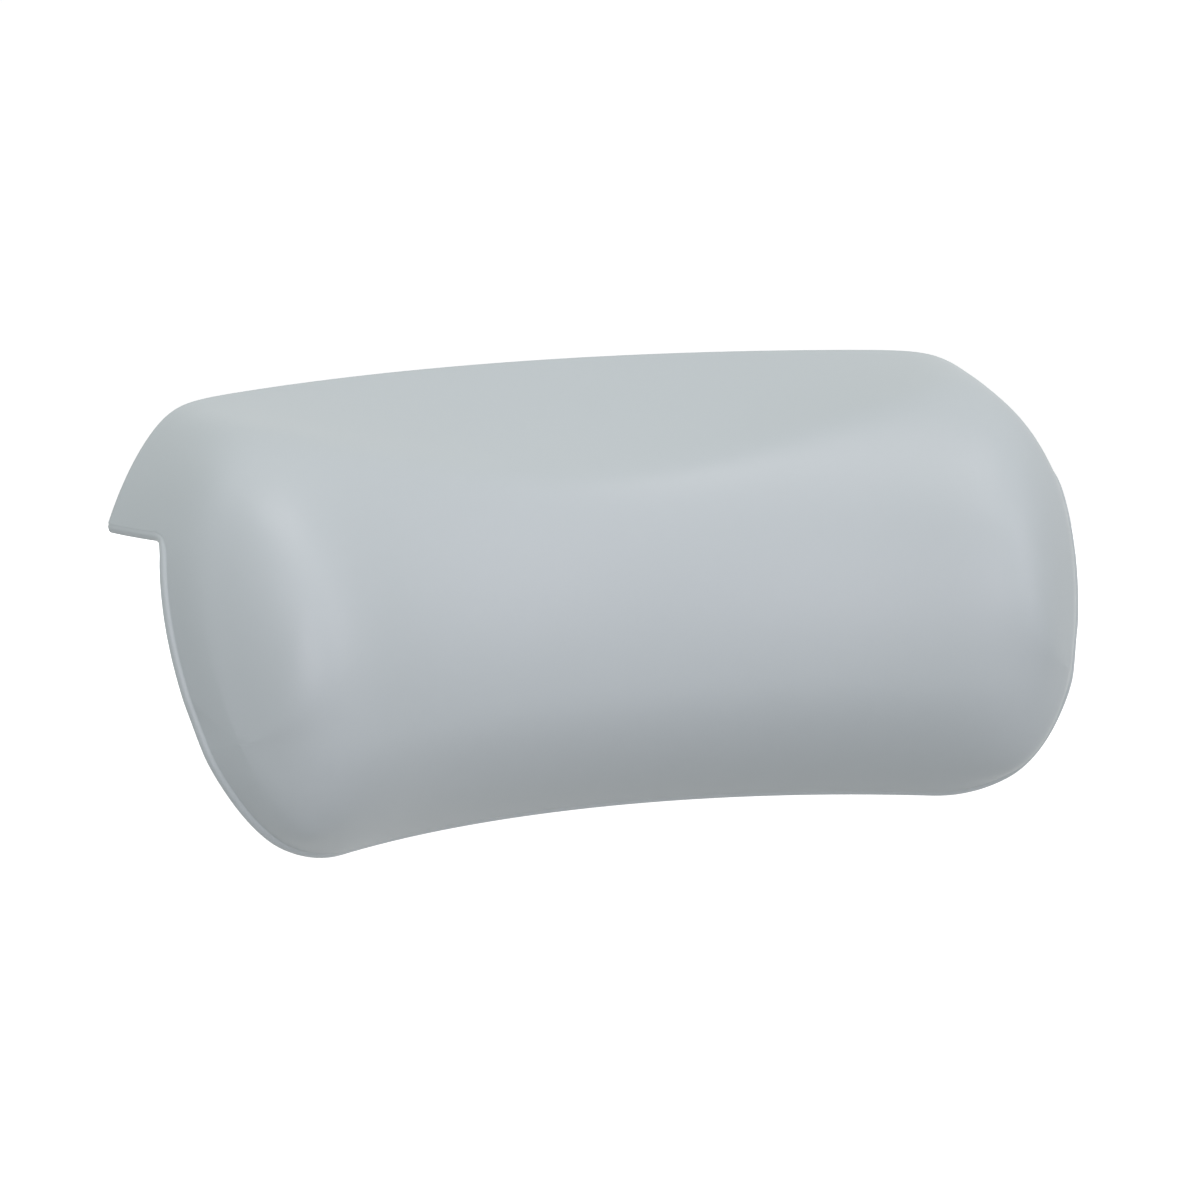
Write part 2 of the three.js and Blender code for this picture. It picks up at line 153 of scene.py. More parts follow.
CAP_RADIUS = PAD_RADIUS + FIT + CAP_WALL
CAP_TOP = -PAD_DEPTH - FIT - HEAD_HEIGHT - CAP_ROOM - CAP_WALL
TAB_LENGTH = 7.0
TAB_WIDTH = 9.0
TAB_CHAMFER = 0.25

# Mesh density
STATIONS = 80  # sections in each half of the pillow
STATION_POWER = 2.5  # sections crowd towards the ends
FRONT_STEPS = 721  # points of the front's curve, before a section's steps are set
LOOP_FINE = 0.7  # a section's step near its top back edge
LOOP_COARSE = 3.2  # and elsewhere
FINE_REACH = 14.0  # fine steps go this far from that edge
OUTLINE_STEPS = 2048  # points of a section while its corners are rounded
BLOCK_STEPS = 100  # along the bath's rim
WALL_STEPS = 40  # down its wall
EDGE_STEPS = 9  # round its edge
BEAD_STEPS = 8  # from the skin's edge to the bead's crest
BEAD_PITCH = 1.2  # from one ring of the bead to the next
TURN_STEPS = 72  # round a cup, a pad or a drain hole
ENTRY_STEPS = TURN_STEPS // 2  # round a keyhole's entry
SLOT_STEPS = TURN_STEPS // 3  # round the narrow end of its slot
GROOVE_STEPS = 6  # along each groove of the grip
HEAD_STEPS = 6
DISH_STEPS = 20
LIP_STEPS = 5
HOLLOW_STEPS = 24
TAB_STEPS = 25

# Blurs along the bead, in counts of its rings
LINE_BLUR = 0.5
DIRECTION_BLUR = 1.5
WALL_BLUR = 3.0

# Cutting and cleaning of meshes
CLEAR = 60.0  # the bath's block runs past the pillow by this much
CUT_PAST = 2.0  # a cut runs past a face by this much
ON_LINE = 0.02  # a point this near to a cut counts as on it
SLOPE_STEP = 0.05  # step that finds the direction towards the bath
SLIVER = 0.02  # edges shorter than this are taken out
MOST_CORNERS = 4  # faces with more corners are cut into triangles
SHARP_TURN = 32.0  # degrees, edges that turn by more stay sharp

# Materials
CLOUD_SCALE = 18  # changes of tone and gloss in a metre
CLOUD_DETAIL = 4
GRAIN_DETAIL = 3
CUP_CLEARNESS = 0.9
CUP_REFRACTION = 1.45

# Camera
PHOTO_SIDE = 1200  # pixels
FOCAL_PIXELS = 5991.6
AIM = (0.0, -0.033, -0.03)  # metres, the place that the camera and the lamps face
AIM_PIXEL = (583.0, 591.4)  # where that place lies in the photograph
SENSOR_WIDTH = 36
CAMERA_AZIMUTH = -22.44  # degrees
CAMERA_ELEVATION = 11.77  # degrees
CAMERA_DISTANCE = 1789.6

# Floor and surroundings
FLOOR_HALF = 6000.0
FLOOR_UP = -450.0
FLOOR_GLOW = 0.8  # light of its own where it is seen, so that it looks nearly white
FLOOR_COLOUR = (0.42, 0.42, 0.42)
FLOOR_ROUGHNESS = 0.9
WHITE = (1, 1, 1, 1)
WORLD_LIGHT = 0.41
WORLD_TINT = (0.95, 1.0, 0.97)

# Each lamp's name, place and size in metres, power in watts, tint, and whether gloss shows it
LAMPS = [
    ("key", (0.0, -0.6, 2.1), (1.8, 1.0), 15.5, (1.0, 0.93, 0.94), True),
    ("left_fill", (-0.9, -2.3, 0.9), (2.4, 1.4), 20.6, (0.99, 0.89, 1.0), True),
    ("right_fill", (1.6, -1.5, 1.0), (1.5, 1.5), 9.5, (0.99, 0.89, 1.0), True),
    ("rear_fill", (0.85, 2.05, -0.2), (1.6, 0.8), 16.0, (1.0, 1.0, 1.0), False),
]


# Form of the bath and of the bolster


def wall_across(up):
    """Place of the bath's wall at a level, across the rim from its inner edge."""
    down = np.minimum(up, 0.0)
    return down * math.tan(math.radians(WALL_LEAN)) - down**2 / (2 * WALL_SWEEP)


def wall_slope(up):
    """How far the wall moves across for each step up."""
    return math.tan(math.radians(WALL_LEAN)) - np.minimum(up, 0.0) / WALL_SWEEP


def bend(along, across, up):
    """Place in the frame of a place along the rim, across it and upward."""
    angle = np.asarray(along) / BATH_RADIUS
    reach = BATH_RADIUS + np.asarray(across)
    place = np.broadcast_arrays(reach * np.sin(angle), AXIS_Y + reach * np.cos(angle), up)
    return np.stack(place, axis=-1)


def unbend(points):
    """The reverse of bend."""
    x, y, up = np.moveaxis(np.asarray(points), -1, 0)
    along = np.arctan2(x, y - AXIS_Y) * BATH_RADIUS
    return along, np.hypot(x, y - AXIS_Y) - BATH_RADIUS, up


def section(inset):
    """Closed outline of the bolster's middle before the neck rest is cut, finest at the top back edge."""
    back = OVERHANG - inset
    centre = FRONT_REACH - CROWN_DEPTH
    reach = FRONT_REACH - inset
    rise = CROWN_DROP + NECK_HEIGHT + SHOULDER_OVER - inset
    edge = (centre - wall_across(-DROP)) / FRONT_REACH
    fall = (DROP - CROWN_DROP) / math.sqrt(1 - edge**2) - inset
    turn = np.radians(np.linspace(90, 270, FRONT_STEPS))
    height = np.where(np.sin(turn) > 0, rise, fall)
    front = np.stack([centre + reach * np.cos(turn), height * np.sin(turn) - CROWN_DROP], axis=1)
    corner = np.array([back, rise - CROWN_DROP])
    outline = np.vstack([corner, front, [back, -fall - CROWN_DROP], corner])
    run = np.concatenate([[0], np.cumsum(np.hypot(*np.diff(outline, axis=0).T))])
    total = run[-1]
    fine = np.arange(0, FINE_REACH, LOOP_FINE)
    coarse = np.linspace(FINE_REACH, total - FINE_REACH, round(total / LOOP_COARSE))
    steps = np.concatenate([fine, coarse, total - fine[:0:-1]])
    return np.stack([np.interp(steps, run, line) for line in outline.T], axis=1)


def fullness(to_end, length, power):
    """How full a section still is, near an end that is rounded over a length."""
    into = np.clip(1 - to_end / length, 0, 1)
    return (1 - into**power) ** (1 / power)


def smoothstep(value, low, high):
    """Zero up to a low value, one from a high value on, and a smooth rise between them."""
    share = np.clip((value - low) / (high - low), 0, 1)
    return share**2 * (3 - 2 * share)


def mixed(first, second, share):
    """Value a share of the way from the first to the second."""
    return first + (second - first) * share


def under_neck_rest(along, across, up, inset):
    """Levels brought under the neck rest, a hollow that slopes to the front, less towards its ends."""
    slope = math.radians(NECK_SLOPE)
    ease = 1 - (along / NECK_HALF_LENGTH) ** 2
    fall = (OVERHANG - across) * math.tan(slope) * ease
    rest = NECK_HEIGHT - NECK_SAG - inset / math.cos(slope) - fall
    blend = NECK_BLEND * np.log1p(np.exp(-np.abs(rest - up) / NECK_BLEND))
    return np.minimum(rest, up) - blend


def end_fill(to_end, across, up):
    """How full the section is at a distance from the end, across and upward of the waist."""
    above = smoothstep(up, -WAIST_BLEND, WAIST_BLEND)
    behind = smoothstep(across, -BROW_DEPTH, OVERHANG + WAIST_DEPTH)
    top = mixed(fullness(to_end, BROW_CORNER, ROUND), fullness(to_end, TOP_CORNER, TOP_POWER), behind)
    under = smoothstep(across, -WAIST_DEPTH, OVERHANG)
    bottom = mixed(fullness(to_end, JAW_CORNER, ROUND), fullness(to_end, BOTTOM_CORNER, ROUND), under)
    chin = fullness(to_end, CHIN_CORNER, SQUARISH)
    front = mixed(chin, fullness(to_end, CHEEK_CORNER, SQUARISH), above)
    rear = fullness(to_end, BACK_CORNER, ROUND)
    return np.where(across < 0, front, rear), mixed(bottom, top, above)


def softened(across, up, softness):
    """Closed outline with its corners rounded, by no more than a share of its length."""
    closed = np.stack([np.append(across, across[0]), np.append(up, up[0])], axis=1)
    run = np.concatenate([[0], np.cumsum(np.hypot(*np.diff(closed, axis=0).T))])
    total = run[-1]
    even = np.arange(OUTLINE_STEPS) * total / OUTLINE_STEPS
    waves = np.fft.rfftfreq(OUTLINE_STEPS, total / OUTLINE_STEPS)
    kept = np.exp(-2 * (math.pi * min(softness, total * MOST_SOFTNESS) * waves) ** 2)
    result = []
    for line in closed.T:
        smooth = np.fft.irfft(np.fft.rfft(np.interp(even, run, line)) * kept, OUTLINE_STEPS)
        result.append(np.interp(run[:-1], np.append(even, total), np.append(smooth, smooth[0])))
    return result


def eased(rings):
    """Rings with the ridges between the front and the ends evened out, away from the bath."""
    along, across, up = unbend(rings)
    share = smoothstep(wall_across(up) - across, RIDGE_NEAR, RIDGE_FAR)
    share = share * smoothstep(np.abs(along), HALF_LENGTH - CHIN_CORNER, HALF_LENGTH - CHEEK_CORNER)
    result = rings.copy()
    for j in range(rings.shape[1]):
        line = rings[:, j]
        longer = np.concatenate([2 * line[0] - line[:0:-1], line, 2 * line[-1] - line[-2::-1]])
        run = np.concatenate([[0], np.cumsum(np.linalg.norm(np.diff(longer, axis=0), axis=1))])
        here = run[len(line) - 1 : 2 * len(line) - 1]
        weight = np.exp(-(((here[:, None] - run) / RIDGE_SOFTNESS) ** 2) / 2) * np.gradient(run)
        result[:, j] = weight @ longer / weight.sum(axis=1, keepdims=True)
    return mixed(rings, result, share[..., None])


def loaf_rings(inset):
    """Rings of points round the pillow's outer form, from one end to the other."""
    outline = section(inset)
    half = HALF_LENGTH - inset
    share = np.linspace(-1, 1, 2 * STATIONS + 1)[1:-1]
    rings = []
    for along in np.sign(share) * half * (1 - (1 - np.abs(share)) ** STATION_POWER):
        to_end = half - abs(along)
        across = outline[:, 0] - (wall_across(outline[:, 1]) - WAIST_DEPTH)
        up = outline[:, 1] + WAIST_DROP
        fill_across, fill_up = end_fill(to_end, across, up)
        height = up * fill_up - WAIST_DROP
        placed = across * fill_across + wall_across(height) - WAIST_DEPTH
        height = under_neck_rest(along, placed, height, inset)
        placed, height = softened(placed, height, EDGE_SOFTNESS)
        behind = np.maximum(placed - wall_across(height) + WAIST_DEPTH, 0) / (OVERHANG + WAIST_DEPTH)
        drawn = along * (1 - BACK_DRAW * behind**DRAW_POWER / HALF_LENGTH)
        rings.append(bend(drawn, placed, height))
    return eased(np.array(rings))


def seat_up(along, across):
    """Level of the hook's underside, which hangs a little lower towards its ends and its back."""
    past_grip = smoothstep(np.abs(along), HALF_LENGTH - GRIP_END_MARGIN, HALF_LENGTH - BACK_DRAW)
    return SEAT - HOOK_DROOP * past_grip * np.maximum(across, 0) / OVERHANG


def bath_distance(points):
    """How far points lie from the bath's rim and wall, which meet in a rounded edge."""
    along, across, up = unbend(points)
    lean = np.arctan(wall_slope(up))
    above = up - seat_up(along, across) + RIM_ROUND
    before = (wall_across(up) - across) * np.cos(lean) + RIM_ROUND
    outside = np.hypot(np.maximum(above, 0), np.maximum(before, 0))
    return outside + np.minimum(np.maximum(above, before), 0) - RIM_ROUND


# Making meshes


def tidied(piece):
    """Faces out and smooth, with sharp edges left where the surface turns, and without slivers."""
    work = bmesh.new()
    work.from_mesh(piece.data)
    bmesh.ops.triangulate(work, faces=[face for face in work.faces if len(face.verts) > MOST_CORNERS])
    bmesh.ops.dissolve_degenerate(work, dist=SLIVER * MM, edges=work.edges)
    bmesh.ops.recalc_face_normals(work, faces=work.faces)
    for face in work.faces:
        face.smooth = True
    for edge in work.edges:
        edge.smooth = len(edge.link_faces) < 2 or edge.calc_face_angle(0) < math.radians(SHARP_TURN)
    work.to_mesh(piece.data)
    work.free()
    return piece


def new_object(name, points, faces):
    """Smooth mesh object from points in millimetres."""
    mesh = bpy.data.meshes.new(name)
    mesh.from_pydata((np.asarray(points) * MM).tolist(), [], faces)
    piece = bpy.data.objects.new(name, mesh)
    bpy.context.scene.collection.objects.link(piece)
    return tidied(piece)


def loft_faces(rings, sides, looped, start):
    """Faces between rings of points, with caps at the ends unless the rings close on themselves."""
    faces = []
    for i in range(rings if looped else rings - 1):
        here = start + i * sides
        there = start + (i + 1) % rings * sides
        for j in range(sides):
            k = (j + 1) % sides
            faces.append((here + j, here + k, there + k, there + j))
    if not looped:
        faces.append(tuple(start + j for j in range(sides)))
        faces.append(tuple(start + (rings - 1) * sides + j for j in reversed(range(sides))))
    return faces


def lofted(name, bodies, looped=False):
    """Object of one or more closed bodies, each a list of rings."""
    points = []
    faces = []
    for rings in bodies:
        faces += loft_faces(len(rings), len(rings[0]), looped, len(points))
        points += [point for ring in rings for point in ring]
    return new_object(name, points, faces)


def bath_block(grown):
    """The bath's rim and wall as a block, grown towards the pillow."""
    edge_up = SEAT - RIM_ROUND
    edge_lean = math.atan(wall_slope(edge_up))
    edge_across = wall_across(edge_up) + RIM_ROUND / math.cos(edge_lean)
    turn = np.linspace(math.pi / 2, math.pi - edge_lean, EDGE_STEPS)
    far = OVERHANG + CLEAR
    rim_across = np.append(far, edge_across + (RIM_ROUND + grown) * np.cos(turn))
    rim_up = np.append(SEAT + grown, edge_up + (RIM_ROUND + grown) * np.sin(turn))
    up = np.linspace(edge_up + RIM_ROUND * math.sin(edge_lean), -DROP - CLEAR, WALL_STEPS)[1:]
    lean = np.arctan(wall_slope(up))
    across = np.concatenate([rim_across, wall_across(up) - grown * np.cos(lean), [far]])
    level = np.concatenate([rim_up, up + grown * np.sin(lean), [-DROP - CLEAR]])
    on_rim = np.arange(len(across)) < len(rim_across)
    half = HALF_LENGTH + CLEAR
    rings = []
    for along in np.linspace(-half, half, BLOCK_STEPS + 1):
        rings.append(bend(along, across, level + on_rim * (seat_up(along, across) - SEAT)))
    return lofted("bath_block", [rings])


def combine(piece, operation, tool):
    """Joins or cuts a closed body with another, which is used up."""
    change = piece.modifiers.new(operation, "BOOLEAN")
    change.operation = operation
    change.solver = "MANIFOLD"
    change.object = tool
    graph = bpy.context.evaluated_depsgraph_get()
    mesh = bpy.data.meshes.new_from_object(piece.evaluated_get(graph))
    piece.modifiers.clear()
    piece.data = mesh
    bpy.data.objects.remove(tool)
    return piece


def trim(work, level):
    """Keeps what lies further than a distance from the bath, cut cleanly along that distance."""
    work.verts.ensure_lookup_table()
    over = bath_distance(np.array([v.co for v in work.verts]) / MM) - level
    over[np.abs(over) < ON_LINE] = 0
    value = dict(zip(work.verts, over))
    for edge in list(work.edges):
        a, b = edge.verts
        if value[a] * value[b] < 0:
            _, middle = bmesh.utils.edge_split(edge, a, value[a] / (value[a] - value[b]))
            value[middle] = 0
    for face in list(work.faces):
        on_line = [v for v in face.verts if value[v] == 0]
        values = [value[v] for v in face.verts]
        if len(on_line) == 2 and min(values) < 0 < max(values):
            bmesh.utils.face_split(face, *on_line)
    outside = [f for f in work.faces if min(value[v] for v in f.verts) < 0]
    bmesh.ops.delete(work, geom=outside, context="FACES")


def boundary_loop(work):
    """Points of the open edge in order, with the surface's normals there."""
    work.normal_update()
    after = {}
    for edge in work.edges:
        if edge.is_boundary:
            loop = edge.link_loops[0]
            after[loop.vert] = loop.link_loop_next.vert
    start = next(iter(after))
    chain = [start]
    while after[chain[-1]] is not start:
        chain.append(after[chain[-1]])
    return np.array([v.co for v in chain]) / MM, np.array([v.normal for v in chain])


# Skin and bead


def pillow_skin():
    """Moulded skin: outer and inner sheet, joined along the back edge. Returns both sheets' edges too."""
    sheets = []
    for inset in (0.0, SKIN_WALL):
        piece = lofted("sheet", [loaf_rings(inset)])
        work = bmesh.new()
        work.from_mesh(piece.data)
        bpy.data.objects.remove(piece)
        trim(work, BEAD_WIDTH + FIT / 2)
        sheets.append(work)
    outer, inner = sheets
    edges = boundary_loop(outer), boundary_loop(inner)
    bmesh.ops.reverse_faces(inner, faces=inner.faces)
    mesh = bpy.data.meshes.new("pillow_skin")
    inner.to_mesh(mesh)
    outer.from_mesh(mesh)
    rim = [e for e in outer.edges if e.is_boundary]
    bmesh.ops.bridge_loops(outer, edges=rim)
    outer.to_mesh(mesh)
    outer.free()
    inner.free()
    piece = bpy.data.objects.new("pillow_skin", mesh)
    bpy.context.scene.collection.objects.link(piece)
    return tidied(piece), edges


def unit(vectors):
    """The same directions with a length of one."""
    return vectors / np.linalg.norm(vectors, axis=1, keepdims=True)


def blurred(values, steps):
    """Values round a closed line, evened out over a number of steps."""
    kept = np.exp(-2 * (math.pi * steps * np.fft.rfftfreq(len(values))) ** 2)
    return np.fft.irfft(np.fft.rfft(values, axis=0) * kept[:, None], len(values), axis=0)


def rounded(part):
    """A share of a circle's radius, made a little squarer."""
    return np.sign(part) * np.abs(part) ** (2 / BEAD_ROUNDNESS)


def bead_profile():
    """Depth behind the skin's edge and height over the skin, round the bead's section."""
    rise = np.linspace(0, 1, BEAD_STEPS)
    turn = np.linspace(0, math.pi, 2 * BEAD_STEPS)[1:]
    fall = (BEAD_PROUD - SKIN_WALL + (BEAD_PROUD + SKIN_WALL) * rounded(np.cos(turn))) / 2
    high = np.concatenate([BEAD_PROUD * smoothstep(rise, 0, 1), fall, [-SKIN_WALL]])
    past_crest = BEAD_CREST + (BEAD_WIDTH - BEAD_CREST) * rounded(np.sin(turn))
    return np.concatenate([BEAD_CREST * rise, past_crest, [0]]), high


def edge_bead(edges):
    """Bead along the skin's edge, as thick as the skin is there, with a low crest and a round back."""
    (points, normals), (inside, _) = edges
    lengths = np.linalg.norm(np.diff(points, axis=0, append=points[:1]), axis=1)
    run = np.concatenate([[0], np.cumsum(lengths)])
    even = np.linspace(0, run[-1], round(run[-1] / BEAD_PITCH), endpoint=False)
    line = np.stack([np.interp(even, run, np.append(c, c[0])) for c in points.T], axis=1)
    out = np.stack([np.interp(even, run, np.append(c, c[0])) for c in normals.T], axis=1)
    line = blurred(line, LINE_BLUR)
    tangent = unit(np.roll(line, -1, axis=0) - np.roll(line, 1, axis=0))
    steps = SLOPE_STEP * np.eye(3)
    slope = [bath_distance(line + step) - bath_distance(line - step) for step in steps]
    inward = unit(blurred(unit(-np.stack(slope, axis=1)), DIRECTION_BLUR))
    inward = unit(inward - np.sum(inward * tangent, axis=1, keepdims=True) * tangent)
    side = np.cross(inward, tangent)
    side *= np.sign(np.sum(side * out, axis=1, keepdims=True))
    apart = np.linalg.norm(line[:, None] - inside, axis=2).min(axis=1)
    thick = blurred(apart[:, None], WALL_BLUR) / SKIN_WALL
    deep, high = bead_profile()
    high = np.where(high < 0, high * thick, high)
    rings = [p + np.outer(h, s) + np.outer(deep, i) for p, h, s, i in zip(line, high, side, inward)]
    return lofted("pillow_edge_bead", [rings], looped=True)


# Places on the wall


def spread(count, margin):
    """Evenly spread places along the rim, with a margin at each end of the pillow."""
    half = HALF_LENGTH - margin
    return np.linspace(-half, half, count)


def wall_frame(along, up):
    """A place on the bath wall: X along the rim, Y up the wall, Z out of the pillow's back."""
    angle = along / BATH_RADIUS
    lean = math.atan(wall_slope(up))
    out = np.array([math.sin(angle), math.cos(angle), 0])
    x = np.array([-math.cos(angle), math.sin(angle), 0])
    y = out * math.sin(lean) + np.array([0, 0, math.cos(lean)])
    z = out * math.cos(lean) - np.array([0, 0, math.sin(lean)])
    return np.column_stack([x, y, z]), bend(along, wall_across(up), up)


def cup_places():
    """Wall frame of each cup by its name."""
    places = {}
    for along, name in zip(spread(len(CUP_NAMES), CUP_END_MARGIN), CUP_NAMES):
        up = -UPPER_CUP_DROP if "upper" in name else LOWER_CUP_RISE - DROP
        places[name] = wall_frame(along, up)
    return places


CUPS = cup_places()


def set_in(place, rings, shift=0.0):
    """Rings of points from a wall frame to the shared frame, shifted up the wall."""
    turn, origin = place
    return [(np.asarray(ring) + [0, shift, 0]) @ turn.T + origin for ring in rings]


def at_cups(name, rings):
    """Object with the same body at each cup's place."""
    return lofted(name, [set_in(place, rings) for place in CUPS.values()])


def turned(profile):
    """Rings of a body of revolution about Z from points of radius and height."""
    turn = np.linspace(0, 2 * math.pi, TURN_STEPS, endpoint=False)
    circle = np.stack([np.cos(turn), np.sin(turn), np.zeros_like(turn)], axis=1)
    return [circle * radius + [0, 0, height] for radius, height in profile]


# Plate, grip and foam


def keyhole_ring(grown, height):
    """Outline of a keyhole: a round entry above, a slot down to the place of rest."""
    entry = HEAD_RADIUS + KEYHOLE_CLEARANCE + grown
    slot = STEM_RADIUS + KEYHOLE_CLEARANCE + grown
    half = math.acos(slot / entry)
    above = np.linspace(-half, math.pi + half, ENTRY_STEPS)
    below = np.linspace(math.pi, 2 * math.pi, SLOT_STEPS)
    x = np.concatenate([entry * np.cos(above), slot * np.cos(below)])
    y = np.concatenate([entry * np.sin(above) + CUP_TRAVEL / 2, slot * np.sin(below) - CUP_TRAVEL / 2])
    return np.stack([x, y, np.full_like(x, height)], axis=1)


def cap_rooms():
    """Room for the caps behind the keyholes."""
    return at_cups("cap_rooms", turned([(CAP_RADIUS + FIT, CAP_TOP - FIT), (CAP_RADIUS + FIT, PAD_PROUD)]))


def rib_slabs(gap):
    """Upright slabs across the rim for the plate's ribs."""
    half = RIB_THICK / 2 + gap
    corners = np.array([[-half, -CLEAR], [half, -CLEAR], [half, CLEAR], [-half, CLEAR]])
    slabs = []
    for along in spread(RIB_COUNT, RIB_END_MARGIN):
        angle = along / BATH_RADIUS
        turn = np.array([[math.cos(angle), math.sin(angle)], [-math.sin(angle), math.cos(angle)]])
        flat = (corners + [0, BATH_RADIUS]) @ turn.T + [0, AXIS_Y]
        levels = (-RIB_BELOW - gap, RIB_ABOVE + gap)
        slabs.append([np.column_stack([flat, np.full(len(flat), up)]) for up in levels])
    return lofted("rib_slabs", slabs)


def ribs(depth, gap):
    """Slabs cut off at a depth over the bath's rim and wall."""
    return combine(bath_block(depth), "INTERSECT", rib_slabs(gap))


def grip_rings(gap, groove):
    """Rings of the rim grip along the rim, grown by a gap, with grooves across its underside."""
    inner = (OVERHANG - GRIP_WIDTH) / 2 - gap
    outer = (OVERHANG + GRIP_WIDTH) / 2 + gap
    top = SEAT + GRIP_SEATED + gap
    half = HALF_LENGTH - GRIP_END_MARGIN + gap
    across = np.array([inner, inner + GRIP_CHAMFER, outer - GRIP_CHAMFER, outer, outer, inner])
    rings = []
    for along in np.linspace(-half, half, GROOVE_STEPS * round(2 * half / GRIP_PITCH) + 1):
        low = groove * abs(math.sin(math.pi * along / GRIP_PITCH)) ** GROOVE_SHARPNESS
        up = np.array([low + GRIP_CHAMFER, low, low, low + GRIP_CHAMFER, top, top])
        rings.append(bend(along, across, up))
    return rings


def back_plate():
    """Hook-shaped plate with ribs, pads, keyholes, drain holes and the grip's groove."""
    stiffeners = combine(ribs(PLATE_WALL + RIB_DEPTH, 0), "DIFFERENCE", cap_rooms())
    shell = combine(bath_block(PLATE_WALL), "UNION", stiffeners)
    plate = lofted("pillow_back_plate", [loaf_rings(SKIN_WALL + FIT)])
    combine(plate, "INTERSECT", shell)
    combine(plate, "DIFFERENCE", bath_block(0))
    pad = [
        (PAD_RADIUS, -PAD_DEPTH),
        (PAD_RADIUS, PAD_PROUD - PAD_ROUND),
        (PAD_RADIUS - PAD_ROUND_MIDDLE, PAD_PROUD - PAD_ROUND_MIDDLE),
        (PAD_RADIUS - PAD_ROUND, PAD_PROUD),
    ]
    combine(plate, "UNION", at_cups("pads", turned(pad)))
    levels = [
        (0, -PAD_DEPTH - CUT_PAST),
        (0, PAD_PROUD - MOUTH_FLARE),
        (MOUTH_FLARE + CUT_PAST, PAD_PROUD + CUT_PAST),
    ]
    keyhole = [keyhole_ring(grown, height) for grown, height in levels]
    combine(plate, "DIFFERENCE", at_cups("keyholes", keyhole))
    hole = turned([(DRAIN_RADIUS + grown, height) for grown, height in levels])
    places = [wall_frame(along, DRAIN_RISE - DROP) for along in spread(DRAIN_COUNT, DRAIN_END_MARGIN)]
    combine(plate, "DIFFERENCE", lofted("drains", [set_in(place, hole) for place in places]))
    combine(plate, "DIFFERENCE", lofted("groove", [grip_rings(FIT, 0)]))
    return tidied(plate)


def pillow_foam():
    """Foam that fills the skin, with room for the plate, its ribs and the caps."""
    foam = lofted("pillow_foam", [loaf_rings(SKIN_WALL + FIT)])
    combine(foam, "DIFFERENCE", bath_block(PLATE_WALL + FIT))
    combine(foam, "DIFFERENCE", ribs(PLATE_WALL + RIB_DEPTH + FIT, FIT))
    combine(foam, "DIFFERENCE", cap_rooms())
    return tidied(foam)


# Suction cups


def cup_profile():
    """Half section of a suction cup from the top of its head to the middle of its hollow."""
    head = -PAD_DEPTH - FIT
    base = PAD_PROUD + FIT
    lip = PAD_PROUD + CUP_HEIGHT
    profile = [(HEAD_FLAT, head - HEAD_HEIGHT)]
    for turn in np.radians(np.linspace(HEAD_TURN, 0, HEAD_STEPS)):
        radius = HEAD_FLAT + (HEAD_RADIUS - HEAD_FLAT) * math.cos(turn)
        profile.append((radius, head - HEAD_HEIGHT / 2 * (1 + math.sin(turn))))
    profile += [(HEAD_RADIUS, head - CUP_CHAMFER), (HEAD_RADIUS - CUP_CHAMFER, head)]
    profile += [(STEM_RADIUS + CUP_CHAMFER, head), (STEM_RADIUS, head + CUP_CHAMFER)]
    profile += [(STEM_RADIUS, base - STEM_SHORT), (BASE_RADIUS - BASE_CHAMFER, base)]
    profile.append((BASE_RADIUS, base + BASE_CHAMFER))
    shoulder = base + BASE_HEIGHT
    for part in np.linspace(0, 1, DISH_STEPS):
        rise = (lip - LIP_WALL - shoulder) * part**DISH_POWER
        profile.append((BASE_RADIUS + (CUP_RADIUS - BASE_RADIUS) * part, shoulder + rise))
    for turn in np.radians(np.linspace(-LIP_TURN, LIP_TURN, LIP_STEPS)):
        height = lip - LIP_WALL / 2 + LIP_WALL / 2 * math.sin(turn)
        profile.append((CUP_RADIUS + LIP_BULGE * math.cos(turn), height))
    hollow = base + CUP_WEB
    for part in np.linspace(HOLLOW_RIM, HOLLOW_MIDDLE, HOLLOW_STEPS):
        profile.append((CUP_RADIUS * part, hollow + (lip - hollow) * part**HOLLOW_POWER))
    return profile


def tab_rings(side):
    """Rings of a cup's pull tab, which points to one side."""
    root = CUP_RADIUS - LIP_WALL
    half = TAB_WIDTH / 2
    lip = PAD_PROUD + CUP_HEIGHT
    under = lip - LIP_WALL
    bow = np.linspace(-math.pi / 2, math.pi / 2, TAB_STEPS)
    x = np.concatenate([[root], CUP_RADIUS + TAB_LENGTH - half + half * np.cos(bow), [root]])
    y = np.concatenate([[-half], half * np.sin(bow), [half]])
    levels = [
        (TAB_CHAMFER, under),
        (0, under + TAB_CHAMFER),
        (0, lip - TAB_CHAMFER),
        (TAB_CHAMFER, lip),
    ]
    rings = []
    for inset, up in levels:
        scale = 1 - inset / half
        rings.append(np.stack([side * (root + (x - root) * scale), y * scale, np.full_like(x, up)], axis=1))
    return rings


def suction_cup(name):
    """Clear cup with its head behind the plate, and a pull tab towards the near end of the pillow."""
    place = CUPS[name]
    rest = -CUP_TRAVEL / 2
    cup = lofted("pillow_cup_" + name, [set_in(place, turned(cup_profile()), rest)])
    side = 1 if "left" in name else -1
    combine(cup, "UNION", lofted("tab", [set_in(place, tab_rings(side), rest)]))
    return tidied(cup)


# Materials


def new_material(name):
    """Material with its nodes and links."""
    material = bpy.data.materials.new(name)
    material.use_nodes = True
    return material, material.node_tree.nodes, material.node_tree.links


